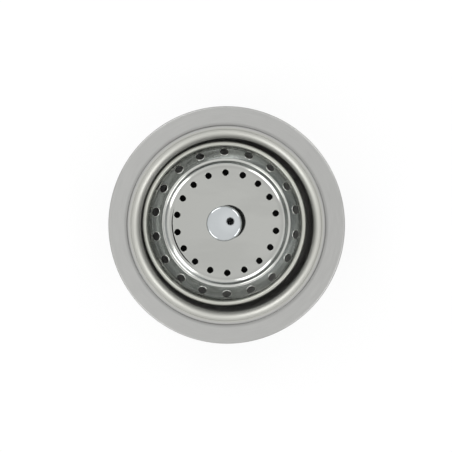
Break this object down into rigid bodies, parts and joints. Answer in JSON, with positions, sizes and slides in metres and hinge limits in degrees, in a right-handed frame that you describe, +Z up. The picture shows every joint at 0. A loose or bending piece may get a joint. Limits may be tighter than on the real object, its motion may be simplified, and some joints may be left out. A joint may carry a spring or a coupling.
{
  "type": "basket strainer waste",
  "caption": "Round stainless sink strainer: flanged bowl with a perforated lift-out basket and knob, a locknut clamp under the deck and a threaded outlet with coupling nut.",
  "frame": {"origin": "on the body's axis, in the plane where the flange sits on the sink deck", "axes": "+Z up along the body's axis, out of the sink's drain"},
  "size_m": [0.1142, 0.1142, 0.0646],
  "materials": {
    "body_steel": "satin stainless steel",
    "basket_steel": "polished stainless steel",
    "stamped_steel": "plain stainless steel",
    "spring_steel": "spring steel",
    "knob_chrome": "polished chrome",
    "nut_chrome": "chromed casting",
    "spigot_metal": "nickel-plated brass",
    "cast_zinc": "bare zinc casting",
    "rubber": "moulded black rubber",
    "fibre": "pressed fibre",
    "washer_plastic": "white polyethylene"
  },
  "bodies": {
    "strainer": {"strainer_body": "body_steel", "outlet_spigot": "spigot_metal", "outlet_cross": "stamped_steel"},
    "clamp": {"rubber_gasket": "rubber", "friction_ring": "fibre"},
    "clamp_nut": {"locknut": "cast_zinc"},
    "tail_washer": {"coupling_washer": "washer_plastic"},
    "tail_nut": {"coupling_nut": "nut_chrome"},
    "clip": {"post_clip": "spring_steel"},
    "basket": {"basket_cup": "basket_steel", "basket_knob": "knob_chrome", "basket_post": "stamped_steel", "spacer_bush": "stamped_steel", "stopper_plate": "stamped_steel", "rubber_stopper": "rubber", "plain_washer": "stamped_steel", "lock_washer": "spring_steel", "post_nut": "stamped_steel", "clip_rivet": "stamped_steel"}
  },
  "joints": [
    {"name": "basket_lift", "type": "slide", "parent": "strainer", "child": "clip", "axis": [0, 0, 1], "range_m": [0, 0.05], "deforming": ["post_clip"]},
    {"name": "basket_turn", "type": "hinge", "parent": "clip", "child": "basket", "pos_m": [-0.00143, 0.0006, -0.0187], "axis": [0, 0, 1], "continuous": true},
    {"name": "clamp_travel", "type": "slide", "parent": "strainer", "child": "clamp", "axis": [0, 0, 1], "range_m": [0, 0.0064]},
    {"name": "locknut_turn", "type": "hinge", "parent": "clamp", "child": "clamp_nut", "pos_m": [0, 0, -0.013], "axis": [0, 0, 1], "range_deg": [0, 900]},
    {"name": "tail_travel", "type": "slide", "parent": "strainer", "child": "tail_washer", "axis": [0, 0, 1], "range_m": [-0.0089, 0]},
    {"name": "coupling_turn", "type": "hinge", "parent": "tail_washer", "child": "tail_nut", "pos_m": [0, 0, -0.06], "axis": [0, 0, 1], "range_deg": [-1440, 0]}
  ],
  "couplings": [
    {"joint": "clamp_travel", "follows": "locknut_turn", "m_per_rad": 0.00040425},
    {"joint": "tail_travel", "follows": "coupling_turn", "m_per_rad": 0.00035152}
  ]
}
